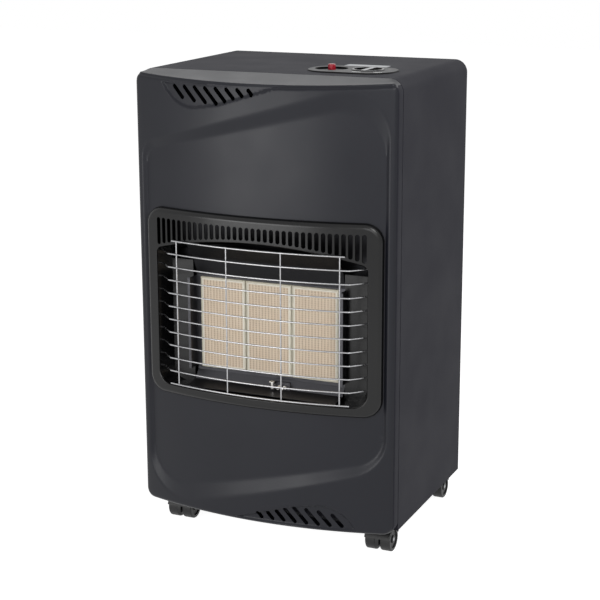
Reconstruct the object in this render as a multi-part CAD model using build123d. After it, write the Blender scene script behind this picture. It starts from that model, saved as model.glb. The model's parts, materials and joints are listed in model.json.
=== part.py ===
from build123d import *
import os
from math import atan2, degrees, pi, sin, sqrt

# Portable gas cabinet heater on castors. Millimetres, +Z up, front face towards -Y, floor at z = 0.
# The origin is on the floor, under the middle of the overall box.

# ---- cabinet sheet metal -------------------------------------------------------------------------
cabinet_width = 420.0
cabinet_height = 730.0          # floor to the top sheet
wrap_depth = 290.0              # front seam to the rear edge of the wrapper
skirt_height = 49.0             # floor to the lower edge of the sheet metal
sheet = 1.0                     # sheet of the wrapper, the front panel and the rear cover
thin_sheet = 0.8                # sheet of the reflectors, the heat shield and the small brackets
top_bend = 20.0                 # outside radius of the wrapper's two top bends
rear_flange = 14.0              # in-turned flange round the rear opening
front_flange = 10.0             # in-turned flange behind the front panel

# ---- pressed front panel -------------------------------------------------------------------------
front_return = 22.0             # side flange of the panel, seam to face
front_bow = 34.0                # rise of the bowed face between its side flanges
panel_corner = 6.0              # plan radius between face and side flange
panel_foot_radius = 15.0        # the panel's two lower corners
crease_slope = 0.19             # fall of the panel's top flange per millimetre of depth
crease_band = 3.0               # plain metal between the crease and the vent that hangs from it

# ---- pressed field of the front panel (outer edge on the face, inner edge on the sunken floor) ----
field_depth = 6.0
field_half_width = 199.5
field_wall_run = 6.0            # width of the sloping side walls
top_edge_height = 676.6         # outer upper edge, at the middle of the panel
top_edge_slope = 0.2813
top_edge_radii = (27.0, 64.0)   # left and right corners
top_floor_height = 655.6        # the same edge down on the sunken floor
top_floor_slope = 0.236
top_floor_radii = (25.0, 62.0)
foot_edge_height = 96.6
foot_edge_slope = 0.2787
foot_edge_radii = (66.0, 64.0)
foot_floor_height = 118.2
foot_floor_slope = 0.2365
foot_floor_radii = (54.0, 48.0)
field_stations = 15             # sections each side of the middle that follow the corners

# ---- crescent vents of the front panel, the lower one being the upper one turned half round -------
vent_sink = 3.0
vent_right = 44.0
vent_drop = 41.0                # crease to the lowest point of the crescent
vent_low_x = -100.0
vent_bow_radius = 62.0          # left part of the crescent's lower edge
vent_tail_rise = 6.6            # fall of the crescent lost over the first part of its right half
vent_tail_share = 0.30          # that part, as a share of the right half
vent_slot_width = 6.2
vent_slot_pitch = 18.1
vent_first_slot = -134.3
vent_slot_top = 9.9             # crease to the upper ends of the slots
vent_slot_lean = 0.9            # sideways run per millimetre of fall
vent_slot_falls = (15.8, 19.2, 20.6, 21.6, 17.5, 12.8, 8.6, 6.2)

# ---- burner surround -----------------------------------------------------------------------------
surround_width = 384.0
surround_foot = 232.0
surround_head = 525.0
surround_corner = 28.0
surround_wall = 2.2
surround_proud = 3.5            # crest of the moulding in front of the panel's face
surround_edge_round = 8.0
panel_cut_margin = 8.0          # panel covered by the surround's rim
mouth_width = 345.0             # burner mouth in the surround
mouth_foot = 248.0
mouth_crown = 486.3             # height of the mouth's arched head at its middle
mouth_arch_radius = 634.0
mouth_head_radius = 12.0        # corners between the arched head and the sides
mouth_foot_radius = 22.0
mouth_edge_round = 1.2          # front edge of the mouth
mouth_back_inset = 12.5         # the mouth's sides and top taper in by this much
mouth_back = 6.0                # seam plane to the rear end of the mouth, in front of it
louvre_count = 35
louvre_span = 334.4             # first to last slot centre
louvre_width = 6.6
louvre_head = 509.8
louvre_lip = 4.0                # left between the slots and the edge of the mouth

# ---- wire guard ----------------------------------------------------------------------------------
wire_radius = 1.15
guard_stand_off = 6.5           # wire centre line in front of the panel's face
guard_rows = 12
guard_foot = 252.0
guard_head = 477.0
guard_bend_x = 147.5            # where the long wires turn back into the surround
guard_post_gap = 88.6           # between the four upright wires
guard_head_overhang = 8.0       # ends of the top wire past the outer uprights
guard_foot_overhang = 15.0
guard_bend_radius = 3.0         # bends of the long wires
weld_bite = 0.6                 # crossing wires sink into each other by this much
wire_hole_clearance = 0.25

# ---- radiant burner ------------------------------------------------------------------------------
plaque_width = 71.0
plaque_height = 139.0
plaque_depth = 13.0
plaque_pitch = 76.5
plaque_centre_height = 344.0
plaque_front = 6.0              # plaque face in front of the seam plane
gasket = 2.0
burner_wall = 1.5
burner_depth = 20.0
burner_rim = 7.0                # wall of the burner body round the plaque pockets
plaque_ledge = 2.5
frame_lip = 2.0                 # retaining frame past the burner body
spacer_radius = 4.0
spacer_inset = 20.0             # burner body's ends to its spacers
plaque_chamfer = 0.6
gasket_back = 0.4               # gasket's edge behind the plaque's face
venturi_radius = 6.2
venturi_wall = 1.2
venturi_length = 38.0
venturi_bell = 8.5
venturi_bell_length = 8.0
injector_across = 6.0           # corner radius of the hexagon
injector_hexagon = 9.0
injector_nose = (3.5, 7.0)      # radius and length
injector_chamfer = 1.2
injector_bore = 0.6
injector_gap = 4.0

# ---- pilot group, at the foot of the burner ------------------------------------------------------
pilot_height = 258.0            # axes of the pilot, the electrode and the probe
pilot_stand = 20.0              # the pilot's head in front of the seam plane
pilot_x = 12.0
electrode_x = 22.0
probe_x = 31.0
pilot_tail = 9.0                # the three pieces behind the pilot's head
pilot_radius = 3.6
pilot_head_radius = 3.2
pilot_head_reach = (2.5, 8.0)   # below and above the axis
pilot_hood = (4.0, 3.0, 1.0)    # in front of the head, behind it, and thickness
sleeve_radius = 2.6
sleeve_reach = 4.0
sleeve_chamfer = 0.6
spark_radius = 0.8
spark_reach = 6.0
spark_tip = (4.0, 9.0)          # sideways and up
spark_bend = 2.0
probe_radius = 2.0
probe_reach = 7.0
probe_round = 1.2
probe_collar = (2.8, 2.0, 6.0)  # radius, front and back behind the pilot's head
bracket_back = 6.5
bracket_thickness = 1.2
bracket_margin = 7.0
tray_window_margin = 5.0
tray_window = (16.0, 4.0)       # front and back edge, in front of the seam plane

# ---- reflectors and heat shield ------------------------------------------------------------------
reflector_wall_x = 124.0
reflector_wall_front = 23.0     # in front of the seam plane
reflector_span = (272.0, 416.0)  # foot and head of the two side walls
reflector_lip = 4.0
reflector_gap = 0.6
shield_gap = 3.0                # burner body to the heat shield
shield_foot = 222.0
shield_head = 545.0
shield_lean_start = 500.0
shield_lean = 36.0
reflector_half = 123.0          # half width of the hood and of the tray
hood_points = ((-sheet, 417.5), (-sheet, 422.0), (-12.0, 448.0), (-35.0, 473.0))    # behind the seam, height
tray_points = ((-42.0, 249.6), (-10.5, 252.5), (-sheet, 266.0), (-sheet, 270.0))

# ---- controls on the top -------------------------------------------------------------------------
bezel_inset = 107.0             # bezel's middle to the right side of the cabinet
bezel_y = 75.0                  # behind the seam
bezel_length = 136.0
bezel_width = 88.0
bezel_corner = 40.0
bezel_rise = 2.0
bezel_lap = 6.0                 # bezel past the opening in the top sheet
control_back = 76.0             # line of the knob and the button, behind the seam
well_radius = 24.8
well_wall = 1.2
igniter_well_depth = 3.2        # from the top of the bezel
knob_well_depth = 9.0
knob_aside = 23.5               # knob's axis to the right of the bezel's middle
knob_radius = 24.0
knob_proud = 1.5                # over the top of the bezel
knob_gap = 1.2                  # under the knob when it is pushed fully in
knob_push = 4.0
knob_rim = 3.0
knob_grip_width = 9.0
knob_hollow = 2.8               # depth of the two finger hollows beside the grip
knob_round = 1.2
knob_roof = 1.0                 # over the end of the spindle
pointer_size = (42.0, 4.0, 0.5)
spindle_radius = 4.0
running_clearance = 0.05
spindle_bore_margin = 2.0       # round the spindle where it passes the bezel
spindle_depth = 18.0            # spindle inside the valve
valve_depth = 47.0              # neck's end to the foot of the block
valve_neck = (9.5, 13.0)        # radius and height
valve_block = (34.0, 30.0, 4.0)  # along x, along y, and corner radius
inlet_back = 27.0               # axis of the hose tail behind the spindle
inlet_arm_radius = 7.0
inlet_drop_radius = 8.0
button_aside = 34.5             # button's axis to the left of the bezel's middle
button_radius = 5.8
button_top = 8.5                # over the top sheet
button_push = 6.0
button_clearance = 0.1
button_socket = 9.0             # length of the button inside the igniter
piezo_collar = (9.0, 0.8)       # radius and height
piezo_radius = 7.5
piezo_length = 52.0
piezo_terminal = (2.5, 6.0)     # radius and length
piezo_nut = (13.0, 6.0)         # corner radius and height
button_round = 1.6
mark_size = (14.0, 4.0)         # plain white marks printed in front of the knob
mark_places = ((17.5, 43.5), (49.5, 46.5))      # right of the bezel's middle, and behind the seam
mark_thickness = 0.2
bezel_screw_aside = 53.0        # to the right of the bezel's middle
bezel_screw_y = 86.0
bezel_screw_radius = 2.0
bezel_screw_depth = 8.0         # below the top sheet
plate_size = (68.0, 26.0)
plate_aside = 3.0               # plate's middle to the left of the bezel's middle
plate_y = 139.0
plate_thickness = 0.5

# ---- gas way -------------------------------------------------------------------------------------
gas_pipe_radius = 3.0
pilot_pipe_radius = 2.0
lead_radius = 1.5
pipe_bend = 13.0
pipe_column_inset = 24.0        # right side of the cabinet to the first of the upright runs
pipe_spacing = 9.0
pipe_run_drop = 32.0            # foot of the heat shield to the lowest level run
pipe_run_step = 8.0
pipe_rise = 25.0                # highest level run to the foot of the valve
pipe_column_back = 16.0         # upright runs behind the heat shield
line_bend = 9.0
valve_port_x = 8.0              # the valve's two outlets beside its middle
valve_port_y = 6.0
hose_tail_radius = 4.5
hose_tail_length = 22.0
hose_tail_bore = 2.6
hose_nut = (9.0, 8.0, 2.0)      # corner radius, height, and how far it is screwed over the inlet

# ---- castors -------------------------------------------------------------------------------------
castor_inset = 39.0             # swivel axis to the side of the cabinet
front_stem_back = 47.5          # swivel axis behind the seam
rear_stem_in = 26.0             # swivel axis in front of the wrapper's rear edge
castor_trail = 14.0
wheel_radius = 19.0
wheel_width = 17.0
wheel_gap = 0.5
castor_web = 6.0
axle_radius = 3.0
axle_chamfer = 0.4
hood_wall = 1.8
hood_clearance = 1.0
hood_skirt = 5.0                # axle to the lower edge of the hood
web_skirt = 6.0                 # axle to the lower edge of the web, below it
hood_boss_radius = 9.0
hood_gap = 0.3                  # hood to the socket's flange
stem_grip = 9.0                 # stem inside the hood
stem_short = 2.0                # stem's end below the socket's
wheel_round = 2.0
wheel_dish = (5.0, 2.0)         # rim width and depth
wheel_hub_radius = 6.0
stem_radius = 4.0
socket_radius = 7.0
socket_flange_radius = 13.0
socket_flange = 3.0
socket_depth = 20.0

# ---- base pan ------------------------------------------------------------------------------------
bottle_radius = 118.0           # foot ring of the gas bottle that the bay is made for
bottle_rib = (1.0, 4.0, 4.5)    # rib round the bottle: inner gap, outer reach, height
pan_height = 24.0
pan_slot = (60.0, 8.0)
pan_slot_spread = (75.0, 45.0)  # distance between the breather slots along x and y

# ---- rear cover ----------------------------------------------------------------------------------
cover_stand = 10.0
cover_overlap = 8.0             # cover past the rear opening on every side
cover_corner = 12.0
cover_slot = (46.0, 5.0)
cover_slot_pitch = (60.0, 13.0)
cover_slot_grid = (5, 4)
cover_slot_middles = (70.0, 130.0)  # from the cover's foot and from its head
cover_edge_round = 2.5
grip_drop = 60.0                # cover's head to the middle of the hand hole
cover_screw_inset = 42.0        # screw axis to the side of the cabinet
cover_screw_drop = 34.0         # cabinet top to the screw axis
cover_dimple_radius = 13.0
cover_dimple_floor = 1.5
screw_head_radius = 8.0
screw_shank_radius = 2.5
screw_clearance = 0.3
screw_head_back = 1.5           # screw's head behind the cover's face
screw_scallop = (12, 1.4)       # how many, and radius
screw_scallop_out = 0.6
tab_size = (24.0, 2.0)
tab_inset = 60.0                # middle of the tab to the side of the cabinet
tab_height = 12.0               # pan floor to the tabs of the rear cover
tab_reach = 4.5                 # tabs in front of the wrapper's rear edge
tab_clearance = 0.5
rail_height = 40.0
grip_size = (96.0, 26.0)
grip_corner = 5.0
casing_screw_radius = 3.0
casing_screw_head = 2.0
casing_screw_shank = 1.5
casing_screw_length = 8.0
casing_screw_x = 105.0          # the two upper ones
casing_screw_drop = 11.0        # cabinet top to the upper ones

# ---- places worked out from the sizes above ------------------------------------------------------
half_width = cabinet_width / 2
front_reach = front_return + front_bow + guard_stand_off + wire_radius
overall_depth = front_reach + wrap_depth + cover_stand
seam = front_reach - overall_depth / 2          # y of the seam between wrapper and front panel
rear = seam + wrap_depth
bow_radius = (half_width ** 2 + front_bow ** 2) / (2 * front_bow)
bow_centre = seam - front_return - front_bow + bow_radius
crease_height = cabinet_height - crease_slope * (front_return + front_bow)
turn_height = (crease_height + skirt_height) / 2
castor_x = half_width - castor_inset
bezel_x = half_width - bezel_inset
knob_x = bezel_x + knob_aside
button_x = bezel_x - button_aside
bezel_screw_x = bezel_x + bezel_screw_aside
plate_x = bezel_x - plate_aside
pipe_column_x = half_width - pipe_column_inset
cover_screw_x = half_width - cover_screw_inset
tab_x = half_width - tab_inset
plaque_front_y = seam - plaque_front
shield_y = seam + burner_depth + shield_gap
bottle_y = (shield_y + thin_sheet + rear - sheet) / 2
far = 900.0                                     # larger than the object, for cutting tools

os.makedirs("parts", exist_ok=True)


# ---- drawing helpers -----------------------------------------------------------------------------
def face_y(x, offset=0.0):
    """y of the bowed face at x, moved forwards by offset."""
    return bow_centre - sqrt((bow_radius + offset) ** 2 - x ** 2)


def bow_body(offset=0.0):
    """Everything behind the bowed face, the face moved forwards by offset."""
    return Pos(0, bow_centre, 0) * Cylinder(bow_radius + offset, 4 * far)


def along_y(sketch, front, back):
    """A sketch drawn as (x, z), extruded from front to back."""
    return extrude(Plane.XZ.offset(-back) * sketch, amount=back - front)


def along_z(sketch, low, high):
    """A sketch drawn as (x, y), extruded from low to high."""
    return extrude(Pos(0, 0, low) * sketch, amount=high - low)


def along_x(sketch, low, high):
    """A sketch drawn as (y, z), extruded from low to high."""
    return extrude(Plane.YZ.offset(low) * sketch, amount=high - low)


def block(x, y, z):
    """A box from three (low, high) pairs."""
    size = [pair[1] - pair[0] for pair in (x, y, z)]
    middle = [(pair[1] + pair[0]) / 2 for pair in (x, y, z)]
    return Pos(*middle) * Box(*size)


def rod_z(radius, x, y, low, high):
    return Pos(x, y, (low + high) / 2) * Cylinder(radius, high - low)


def rod_y(radius, x, z, front, back):
    return Pos(x, (front + back) / 2, z) * Rot(90, 0, 0) * Cylinder(radius, back - front)


def rod_x(radius, y, z, low, high):
    return Pos((low + high) / 2, y, z) * Rot(0, 90, 0) * Cylinder(radius, high - low)


def rounded(width, low, high, radius, x=0.0):
    """Upright rounded rectangle, drawn as (x, z)."""
    return Pos(x, (low + high) / 2) * RectangleRounded(width, high - low, radius)


def polygon(*points):
    return make_face(Polyline(*points, close=True))


def bent_sheet(points, thickness):
    """Cross-section of a folded sheet, on the left of an open line of points."""
    line = Wire(Polyline(*points).edges())
    return make_face(line.offset_2d(thickness, Kind.INTERSECTION, Side.LEFT, True))


def arch(half, low, high, head_radius, foot_radius=0.0):
    """Upright outline with rounded top corners and, if asked, rounded bottom corners."""
    plate = Pos(0, (low + high) / 2) * Rectangle(2 * half, high - low)
    plate = fillet(plate.vertices().group_by(Axis.Y)[-1], head_radius)
    if foot_radius > 0:
        plate = fillet(plate.vertices().group_by(Axis.Y)[0], foot_radius)
    return plate


def pipe(points, radius, bend):
    """A round tube or lead along straight runs joined by arcs."""
    path = FilletPolyline(*points, radius=bend)
    return sweep(Plane(path @ 0, z_dir=path % 0) * Circle(radius), path=path)


# ---- front panel ---------------------------------------------------------------------------------
def panel_envelope(inset):
    """The space inside the panel's outer face, moved in by inset and open to the rear if inset."""
    back = seam + (far if inset else 0)
    outline = arch(half_width - inset, skirt_height + inset, cabinet_height - inset,
                   top_bend - inset, panel_foot_radius - inset)
    body = along_y(outline, seam - far, back) & bow_body(-inset)
    top = cabinet_height - inset
    slope = along_x(polygon((seam, top), (seam - far, top - crease_slope * far),
                            (seam - far, top + far), (seam, top + far)), -far, far)
    body -= slope
    upright = body.edges().filter_by(Axis.Z).group_by(Axis.Y)[0]
    return fillet(upright, panel_corner - inset)


def slanted_edge(x, side, height, slope, radii, half):
    """Height of a slanted edge of the pressed field at x, its ends rounded into the upright sides."""
    lean = sqrt(1 + slope ** 2)
    for radius, direction in zip(radii, (-1, 1)):
        centre_x = direction * (half - radius)
        centre_z = height + slope * centre_x - side * radius * lean
        tangent_x = centre_x - side * radius * slope / lean
        if direction * (x - tangent_x) > 0:
            return centre_z + side * sqrt(max(radius ** 2 - (x - centre_x) ** 2, 0))
    return height + slope * x


def field_edges(x, level):
    """Lower and upper edge of the pressed field at x; level is 0 on the face and 1 on the floor."""
    half = field_half_width - field_wall_run * level

    def between(outer, inner):
        return outer + (inner - outer) * level

    def edge(side, outer, inner):
        height, slope, radii = (between(outer[0], inner[0]), between(outer[1], inner[1]),
                                [between(*pair) for pair in zip(outer[2], inner[2])])
        return slanted_edge(x, side, height, slope, radii, half)

    low = edge(-1, (foot_edge_height, foot_edge_slope, foot_edge_radii),
               (foot_floor_height, foot_floor_slope, foot_floor_radii))
    high = edge(1, (top_edge_height, top_edge_slope, top_edge_radii),
                (top_floor_height, top_floor_slope, top_floor_radii))
    return low, high


def field_cutter(inset):
    """Cuts the pressed field: a body with sloping walls, lofted across the panel."""
    above, below = -0.5, 1.5                    # levels outside the wall that the cutter reaches
    widest = field_half_width - field_wall_run * above
    sections = []
    for step in range(-field_stations, field_stations + 1):
        x = widest * sin(pi / 2 * step / field_stations) * 0.9999
        deep = min(below, (field_half_width - abs(x)) / field_wall_run - 0.02)
        outer_low, outer_high = field_edges(x, above)
        floor_low, floor_high = field_edges(x, deep)
        outer_y = face_y(x) + above * field_depth + inset
        floor_y = face_y(x) + deep * field_depth + inset
        section = polygon((outer_y, outer_low), (floor_y, floor_low), (floor_y, floor_high),
                          (outer_y, outer_high))
        sections.append(Plane.YZ.offset(x) * section)
    return loft(sections, ruled=True) - bow_body(-field_depth - inset)


def vent_outline(margin=0.0):
    """Crescent that hangs from the crease, drawn as (x, z)."""
    low = crease_height - vent_drop - margin
    head = crease_height - crease_band + margin
    end = vent_right + margin
    tail_x = vent_low_x + (end - vent_low_x) * vent_tail_share
    right = polygon((vent_low_x, low), (tail_x, low + vent_tail_rise), (end, head), (vent_low_x, head))
    left = Pos(vent_low_x, low + vent_bow_radius) * Circle(vent_bow_radius)
    left &= polygon((vent_low_x, low), (vent_low_x, head), (-half_width, head), (-half_width, low))
    return left + right


def vent_slots():
    """The slanted slots of the upper vent, drawn as (x, z)."""
    slots = []
    head = crease_height - vent_slot_top
    for index, fall in enumerate(vent_slot_falls):
        x = vent_first_slot + index * vent_slot_pitch
        run = vent_slot_lean * fall
        length = sqrt(run ** 2 + fall ** 2)
        lean = degrees(atan2(-fall, run))
        slots.append(Pos(x + run / 2, head - fall / 2) * Rot(0, 0, lean)
                     * SlotCenterToCenter(length, vent_slot_width))
    return slots


def half_turn(body):
    """The same shape turned half round the middle of the panel, seen from the front."""
    return Pos(0, 0, turn_height) * Rot(0, 180, 0) * Pos(0, 0, -turn_height) * body


def panel_body(inset):
    """The pressed panel as a solid whose skin is moved in by inset."""
    sink = along_y(vent_outline(inset), seam - far, seam) - bow_body(-vent_sink - inset)
    return panel_envelope(inset) - field_cutter(inset) - sink - half_turn(sink)


def front_panel():
    """Bowed sheet with its pressed field, the cut-out behind the surround and the two crescent vents."""
    shell = panel_body(0) - panel_body(sheet)
    window = rounded(surround_width - 2 * panel_cut_margin, surround_foot + panel_cut_margin,
                     surround_head - panel_cut_margin, surround_corner - panel_cut_margin)
    shell -= along_y(window, seam - far, seam)
    for slot in vent_slots():
        cut = along_y(slot, seam - far, seam - front_return)
        shell = shell - cut - half_turn(cut)
    return shell


# ---- cabinet -------------------------------------------------------------------------------------
def bezel_outline(inset=0.0):
    outline = RectangleRounded(bezel_length - 2 * inset, bezel_width - 2 * inset, bezel_corner - inset)
    return Pos(bezel_x, seam + bezel_y) * outline


def cabinet_wrap():
    outer = arch(half_width, skirt_height, cabinet_height, top_bend)
    inner = arch(half_width - sheet, skirt_height - sheet, cabinet_height - sheet, top_bend - sheet)
    shell = along_y(outer, seam, rear) - along_y(inner, seam - sheet, rear + sheet)
    for width, front in ((rear_flange, rear - sheet), (front_flange, seam)):
        hole = arch(half_width - width, skirt_height - sheet, cabinet_height - width,
                    max(top_bend - width, sheet))
        shell += along_y(outer - hole, front, front + sheet)
    shell -= along_z(bezel_outline(bezel_lap), cabinet_height - 2 * sheet, cabinet_height + sheet)
    return shell - casing_screw_holes(screw_clearance)


def cover_screw_places():
    return [(side * cover_screw_x, cabinet_height - cover_screw_drop) for side in (-1, 1)]


def casing_screw_places():
    """Where the wrapper's rear flange lies on the base pan and on the cross rail, as (x, z)."""
    low = (half_width - rear_flange / 2, skirt_height + cover_overlap / 2)
    high = (casing_screw_x, cabinet_height - casing_screw_drop)
    return [(side * x, z) for side in (-1, 1) for x, z in (low, high)]


def casing_screw_holes(clearance=0.0):
    holes = [rod_y(casing_screw_shank + clearance, x, z, rear - casing_screw_length - sheet, rear + sheet)
             for x, z in casing_screw_places()]
    return holes[0].fuse(*holes[1:])


def rear_cross_rail():
    """Folded rail behind the top of the rear opening, which the cover's screws go into."""
    half = half_width - sheet
    top = cabinet_height - rear_flange / 2
    low = top - rail_height
    profile = polygon((rear - 2 * sheet, top), (rear - sheet, top), (rear - sheet, low),
                      (rear - rear_flange, low), (rear - rear_flange, low + sheet),
                      (rear - 2 * sheet, low + sheet))
    rail = along_x(profile, -half + top_bend / 2, half - top_bend / 2)
    for x, z in cover_screw_places():
        rail -= rod_y(screw_shank_radius + screw_clearance, x, z, rear - rear_flange, rear + sheet)
    return rail - casing_screw_holes()


def stem_places():
    """Name and swivel axis of each castor, with the way that its wheels trail."""
    return [("front_left", -castor_x, seam + front_stem_back, -1),
            ("front_right", castor_x, seam + front_stem_back, -1),
            ("rear_left", -castor_x, rear - rear_stem_in, 1),
            ("rear_right", castor_x, rear - rear_stem_in, 1)]


def base_pan():
    """Floor tray with a rib that keeps the gas bottle in place and slots that let the bay breathe."""
    half = half_width - sheet
    front, back = seam + sheet, rear - sheet
    tray = block((-half, half), (front, back), (skirt_height, skirt_height + pan_height))
    tray -= block((-half + sheet, half - sheet), (front + sheet, back - sheet),
                  (skirt_height + sheet, skirt_height + pan_height + sheet))
    floor = skirt_height + sheet
    gap, reach, height = bottle_rib
    tray += rod_z(bottle_radius + reach, 0, bottle_y, floor - sheet / 2, floor + height) \
        - rod_z(bottle_radius + gap, 0, bottle_y, floor - sheet, floor + height + sheet)
    for spot in GridLocations(*pan_slot_spread, 3, 3):
        slot = extrude(SlotOverall(*pan_slot), amount=2 * sheet, both=True)
        tray -= Pos(0, bottle_y, floor) * spot * slot
    for name, x, y, way in stem_places():
        tray -= rod_z(socket_radius, x, y, skirt_height - sheet, floor + sheet)
    for side in (-1, 1):
        half_slot = tab_size[0] / 2 + tab_clearance
        low = floor + tab_height - tab_clearance
        tray -= block((side * tab_x - half_slot, side * tab_x + half_slot), (back - 3 * sheet, rear),
                      (low, low + tab_size[1] + 2 * tab_clearance))
    return tray - casing_screw_holes()


def casing_screws():
    """Pan-head screws through the rear flange, two into the base pan and two into the cross rail."""
    screws = []
    for x, z in casing_screw_places():
        head = rod_y(casing_screw_radius, x, z, rear, rear + casing_screw_head)
        head = fillet(head.faces().sort_by(Axis.Y)[-1].edges(), casing_screw_head / 2)
        screws.append(head + rod_y(casing_screw_shank, x, z, rear - casing_screw_length, rear))
    return screws


# ---- burner surround and guard -------------------------------------------------------------------
def mouth_edge(x, margin=0.0):
    """Height of the mouth's arched head at x."""
    return mouth_crown - mouth_arch_radius + sqrt((mouth_arch_radius + margin) ** 2 - x ** 2)


def mouth_outline(margin, inset=0.0):
    """The mouth seen from the front; inset narrows it at the sides and at the head."""
    half = mouth_width / 2 + margin - inset
    foot = mouth_foot - margin
    shoulder = mouth_edge(half, margin) - inset
    straight = Polyline((-half, shoulder), (-half, foot), (half, foot), (half, shoulder))
    head = ThreePointArc((half, shoulder), (0, mouth_crown + margin - inset), (-half, shoulder))
    plate = make_face(straight.edges() + head.edges())
    plate = fillet(plate.vertices().group_by(Axis.Y)[-1], mouth_head_radius + margin)
    return fillet(plate.vertices().group_by(Axis.Y)[0], mouth_foot_radius + margin)


def mouth_body(margin=0.0):
    """The mouth of the surround: straight at the front, then tapering in at its sides and head."""
    taper_start = face_y(mouth_width / 2)
    front = mouth_outline(margin)
    end = mouth_outline(margin, mouth_back_inset)
    taper = loft([Plane.XZ.offset(-taper_start) * front, Plane.XZ.offset(mouth_back - seam) * end])
    return along_y(front, seam - far, taper_start) + taper


def louvres():
    """Upright round-ended slots whose lower ends follow the edge of the mouth."""
    slots = []
    for index in range(louvre_count):
        x = louvre_span * (index / (louvre_count - 1) - 0.5)
        foot = mouth_edge(x) + louvre_lip
        slots.append(Pos(x, (louvre_head + foot) / 2) * Rot(0, 0, 90)
                     * SlotOverall(louvre_head - foot, louvre_width))
    return slots


def guard_leg(side, z):
    """Straight end of a long guard wire: its bend and its tip behind the surround's wall."""
    bend_y = face_y(guard_bend_x, guard_stand_off)
    reach = mouth_width / 2 - guard_bend_x + surround_wall
    return Vector(side * guard_bend_x, bend_y, z), Vector(side * (guard_bend_x + reach), bend_y + reach, z)


def straight_wire(start, end, radius):
    return extrude(Plane(start, z_dir=end - start) * Circle(radius), amount=(end - start).length)


def guard_heights():
    return [guard_foot + (guard_head - guard_foot) * row / (guard_rows - 1) for row in range(guard_rows)]


def crested_edges(body, proud):
    """Edges of a body that lie on the bow that is proud of the face."""
    radius = bow_radius + proud
    return [edge for edge in body.edges()
            if abs(((edge @ 0.5) - Vector(0, bow_centre, (edge @ 0.5).Z)).length - radius) < 0.01]


def moulding(inset, proud, edge_round):
    """Body of the surround's outline, up to proud in front of the face, its front edge rounded."""
    outline = rounded(surround_width - 2 * inset, surround_foot + inset, surround_head - inset,
                      surround_corner - inset)
    body = along_y(outline, seam - far, seam) & bow_body(proud)
    return fillet(crested_edges(body, proud), edge_round) - bow_body(-field_depth)


def burner_surround():
    """Moulded frame with a broad rolled rim, a tapering mouth and a row of louvre slots."""
    frame = moulding(0, surround_proud, surround_edge_round)
    frame -= moulding(surround_wall, surround_proud - surround_wall, surround_edge_round - surround_wall)
    frame += mouth_body(surround_wall) & bow_body(surround_proud)
    frame -= mouth_body()
    frame = fillet(crested_edges(frame, surround_proud), mouth_edge_round)
    for side in (-1, 1):
        inner = reflector_wall_x + thin_sheet + reflector_gap
        outer = mouth_width / 2 - mouth_back_inset + surround_wall / 2
        x = sorted((side * inner, side * outer))
        back = seam - mouth_back
        frame += block(x, (back - surround_wall, back),
                       (mouth_foot, mouth_edge(outer) - mouth_back_inset - mouth_head_radius))
    for slot in louvres():
        frame -= along_y(slot, seam - far, face_y(louvre_span / 2))
    for z in guard_heights()[1:-1]:
        for side in (-1, 1):
            start, end = guard_leg(side, z)
            frame -= straight_wire(start, end, wire_radius + wire_hole_clearance)
    return frame


def bowed_wire(half, z):
    """A wire that follows the bow of the face between -half and half."""
    left, right = (Vector(x, face_y(half, guard_stand_off), z) for x in (-half, half))
    middle = Vector(0, face_y(0, guard_stand_off), z)
    path = ThreePointArc(left, middle, right)
    return sweep(Plane(path @ 0, z_dir=path % 0) * Circle(wire_radius), path=path)


def long_wire(z):
    """A long wire with both ends turned back, in one piece."""
    (left, left_tip), (right, right_tip) = (guard_leg(side, z) for side in (-1, 1))
    bow = ThreePointArc(left, Vector(0, face_y(0, guard_stand_off), z), right)
    corners = Wire([Line(left_tip, left).edge(), bow.edge(), Line(right, right_tip).edge()])
    bends = [corner for corner in corners.vertices() if abs(abs(corner.X) - guard_bend_x) < 0.01]
    path = corners.fillet_2d(guard_bend_radius, bends)
    return sweep(Plane(path @ 0, z_dir=path % 0) * Circle(wire_radius), path=path)


def wire_guard():
    """Welded guard: bowed long wires, the inner ones turned back into the surround, four uprights."""
    heights = guard_heights()
    wires = [long_wire(z) for z in heights[1:-1]]
    outer_post = 1.5 * guard_post_gap
    wires.append(bowed_wire(outer_post + guard_foot_overhang, heights[0]))
    wires.append(bowed_wire(outer_post + guard_head_overhang, heights[-1]))
    for step in (-1.5, -0.5, 0.5, 1.5):
        x = step * guard_post_gap
        y = face_y(x, guard_stand_off) + 2 * wire_radius - weld_bite
        wires.append(rod_z(wire_radius, x, y, heights[0] - wire_radius, heights[-1] + wire_radius))
    return wires[0].fuse(*wires[1:])


# ---- radiant burner ------------------------------------------------------------------------------
pocket_width = plaque_width + 2 * gasket
pocket_height = plaque_height + 2 * gasket
field_width = 2 * plaque_pitch + pocket_width
body_width = field_width + 2 * burner_rim
body_height = pocket_height + 2 * burner_rim
body_foot = plaque_centre_height - body_height / 2
plaque_back_y = plaque_front_y + plaque_depth
plenum_front_y = plaque_back_y + burner_wall
venturi_y = (plenum_front_y + seam + burner_depth - burner_wall) / 2


def upright_plate(width, height, x=0.0):
    return Pos(x, plaque_centre_height) * Rectangle(width, height)


def plaque_columns():
    return [-plaque_pitch, 0, plaque_pitch]


def ceramic_plaque(x):
    plaque = along_y(upright_plate(plaque_width, plaque_height, x), plaque_front_y, plaque_back_y)
    return chamfer(plaque.faces().sort_by(Axis.Y)[0].edges(), plaque_chamfer)


def plaque_gaskets():
    front = plaque_front_y + gasket_back
    return [along_y(upright_plate(pocket_width, pocket_height, x)
                    - upright_plate(plaque_width, plaque_height, x), front, plaque_back_y)
            for x in plaque_columns()]


def plaque_frame():
    plate = upright_plate(body_width + 2 * frame_lip, body_height + 2 * frame_lip)
    for x in plaque_columns():
        plate -= upright_plate(pocket_width, pocket_height, x)
    return along_y(plate, seam - sheet, seam)


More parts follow.
